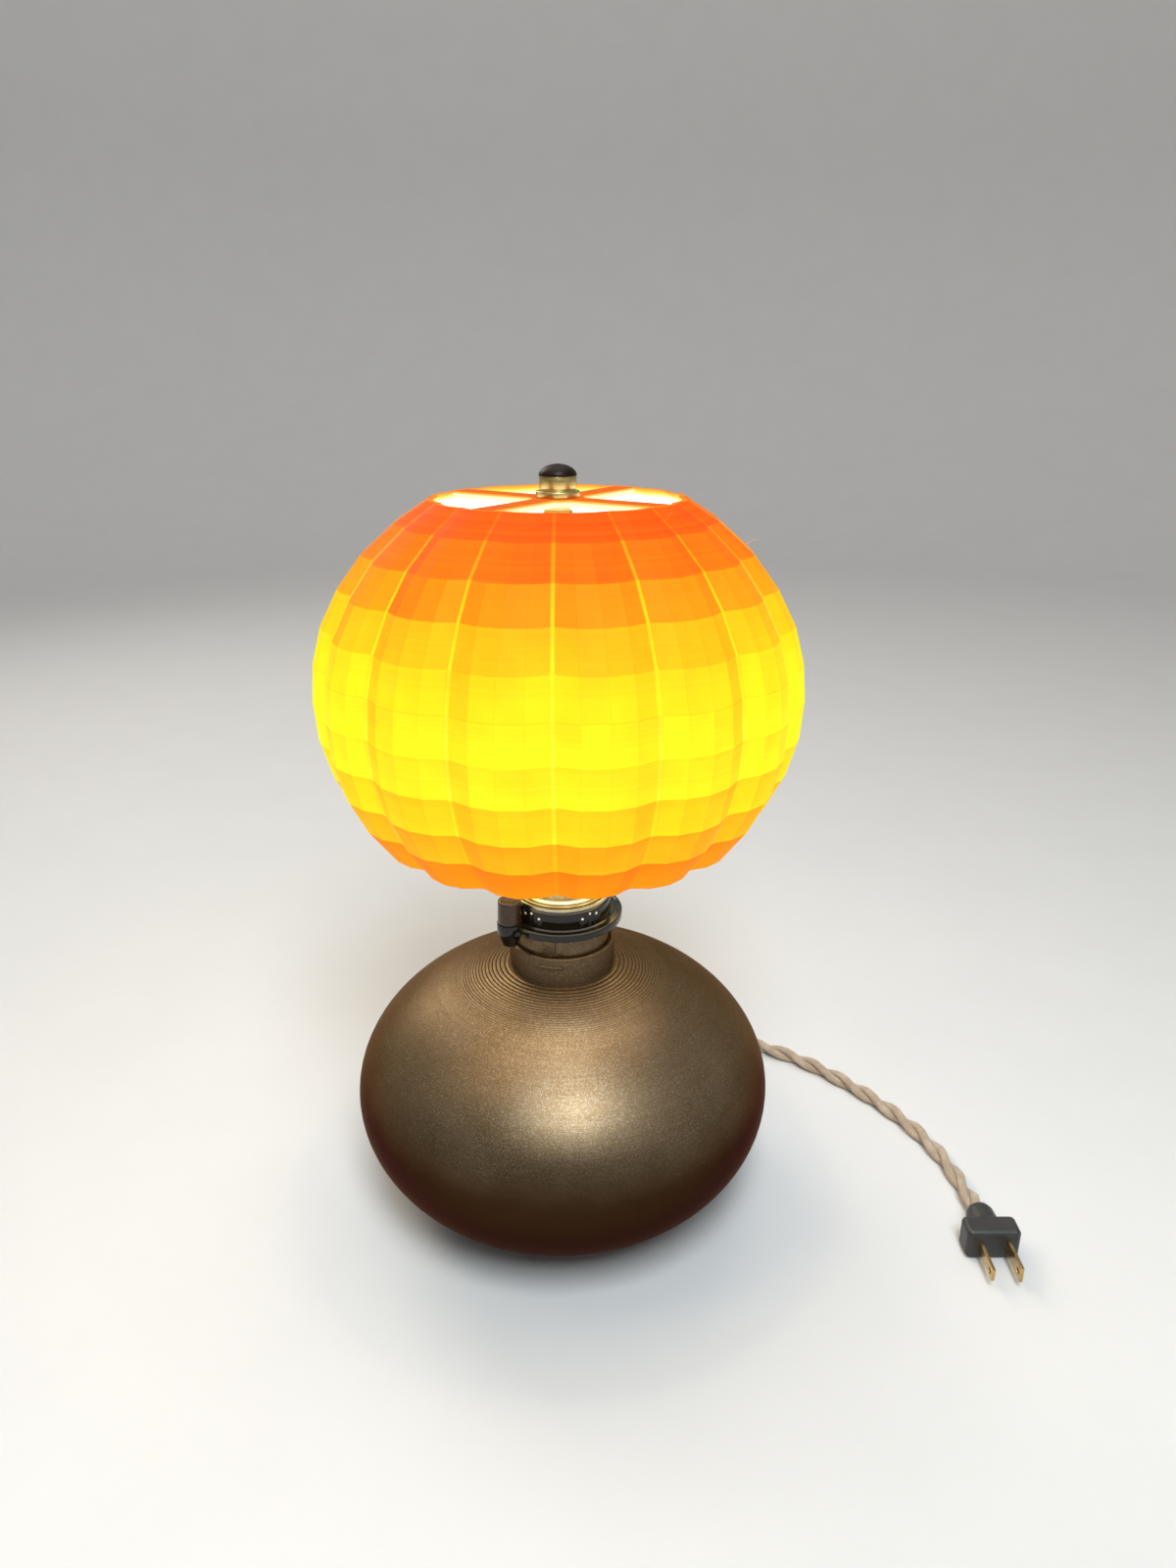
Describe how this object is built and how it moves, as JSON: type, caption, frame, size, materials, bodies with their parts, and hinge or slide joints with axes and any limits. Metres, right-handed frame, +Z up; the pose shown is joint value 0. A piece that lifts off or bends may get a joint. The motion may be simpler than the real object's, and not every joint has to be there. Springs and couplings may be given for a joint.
{
  "type": "table lamp with a ribbed globe shade",
  "caption": "Table lamp: a ribbed, facetted translucent globe shade hangs from a harp and finial over a squat rounded base with a neck, a black lamp holder and a twisted cord.",
  "frame": {"origin": "centre of the underside of the felt pad, on the table", "axes": "+Z up along the lamp's axis; -Y is the front, the side the knob is left of; +X is to the viewer's right"},
  "size_m": [0.3148, 0.2184, 0.3517],
  "materials": {
    "bronze_print": "3D-printed filament with a fine metallic bronze glitter, layer lines showing, semi-matt",
    "felt": "dense black felt",
    "cover_print": "3D-printed plate, matt",
    "zinc_steel": "zinc-plated steel",
    "black_rubber": "moulded black rubber",
    "jute": "two twisted strands under braided jute, fuzzy",
    "plug_black": "moulded, slightly textured",
    "brass": "satin brass",
    "brass_satin": "lacquered brass, turned",
    "dark_cap": "very dark brown, polished dome",
    "black_moulding": "glossy black moulding",
    "white_mark": "small white index dots",
    "wire_brown": "PVC insulation",
    "wire_white": "PVC insulation",
    "nickel": "nickel-plated",
    "black_glass": "black glass insulator",
    "bulb_white": "white moulded housing",
    "bulb_diffuser": "frosted diffuser, lit",
    "board_white": "white solder mask on aluminium",
    "board_green": "circuit board",
    "led_yellow": "phosphor coated",
    "shade_print": "translucent orange-yellow print, lit from inside, deep orange at both lips and yellow round the middle",
    "spider_print": "the same translucent print, seen in its own shadow"
  },
  "bodies": {
    "lamp_body": {"base_shell": "bronze_print", "felt_pad": "felt", "bottom_cover": "cover_print", "cover_screws": "zinc_steel", "cord_grommet": "black_rubber", "cord_clamp": "black_rubber", "power_cord": "jute", "plug_body": "plug_black", "plug_blades": "brass", "neck_sleeve": "bronze_print", "lamp_pipe": "zinc_steel", "pipe_nut_lower": "zinc_steel", "lock_washer": "zinc_steel", "pipe_nut_upper": "zinc_steel", "holder_cap": "black_moulding", "holder_body": "black_moulding", "screw_shell": "brass", "centre_contact": "brass", "terminal_screws": "zinc_steel", "collar_flange": "black_moulding", "rotary_switch": "black_moulding", "retaining_ring": "black_moulding", "index_dots": "white_mark", "harp_saddle": "brass", "clamp_ring": "black_moulding", "harp": "brass", "conductor_live": "wire_brown", "conductor_neutral": "wire_white"},
    "catch": {"sleeve_catch": "bronze_print"},
    "knob": {"dimmer_knob": "black_moulding", "knob_shaft": "zinc_steel"},
    "sleeve_left": {"harp_sleeve_left": "brass"},
    "sleeve_right": {"harp_sleeve_right": "brass"},
    "bulb_tip": {"bulb_contact": "nickel"},
    "bulb": {"bulb_insulator": "black_glass", "bulb_screw_base": "nickel", "bulb_housing": "bulb_white", "bulb_globe": "bulb_diffuser", "led_board": "board_white", "led_chips": "led_yellow", "driver_board": "board_green"},
    "swivel": {"swivel_stud": "brass"},
    "shade": {"shade_shell": "shade_print", "spider": "spider_print"},
    "finial_thread": {"finial_insert": "brass"},
    "finial": {"finial_body": "brass_satin", "finial_cap": "dark_cap"}
  },
  "joints": [
    {"name": "catch_press", "type": "slide", "parent": "lamp_body", "child": "catch", "axis": [0.2028, 0.9792, 0], "range_m": [0, 0.003], "stiffness_N_per_m": 300, "springref_m": -0.001},
    {"name": "knob_turn", "type": "hinge", "parent": "lamp_body", "child": "knob", "pos_m": [-0.02299, -0.01701, 0.158], "axis": [0, 0, 1], "range_deg": [0, 270]},
    {"name": "sleeve_left_lift", "type": "slide", "parent": "lamp_body", "child": "sleeve_left", "axis": [-0.342, 0, 0.9397], "range_m": [0, 0.012]},
    {"name": "sleeve_right_lift", "type": "slide", "parent": "lamp_body", "child": "sleeve_right", "axis": [0.342, 0, 0.9397], "range_m": [0, 0.012]},
    {"name": "bulb_rise", "type": "slide", "parent": "lamp_body", "child": "bulb_tip", "axis": [0, 0, 1], "range_m": [0, 0.0182]},
    {"name": "bulb_turn", "type": "hinge", "parent": "bulb_tip", "child": "bulb", "pos_m": [0, 0, 0.145], "axis": [0, 0, 1], "range_deg": [0, 1800]},
    {"name": "shade_turn", "type": "hinge", "parent": "lamp_body", "child": "swivel", "pos_m": [0, 0, 0.331], "axis": [0, 0, 1], "continuous": true},
    {"name": "shade_lift", "type": "slide", "parent": "swivel", "child": "shade", "axis": [0, 0, 1], "range_m": [0, 0.156]},
    {"name": "finial_rise", "type": "slide", "parent": "shade", "child": "finial_thread", "axis": [0, 0, 1], "range_m": [0, 0.00846]},
    {"name": "finial_turn", "type": "hinge", "parent": "finial_thread", "child": "finial", "pos_m": [0, 0, 0.343], "axis": [0, 0, 1], "range_deg": [0, 3240]}
  ],
  "couplings": [
    {"joint": "bulb_rise", "follows": "bulb_turn", "m_per_rad": 0.00057773},
    {"joint": "finial_turn", "follows": "finial_rise", "rad_per_m": 6679}
  ]
}
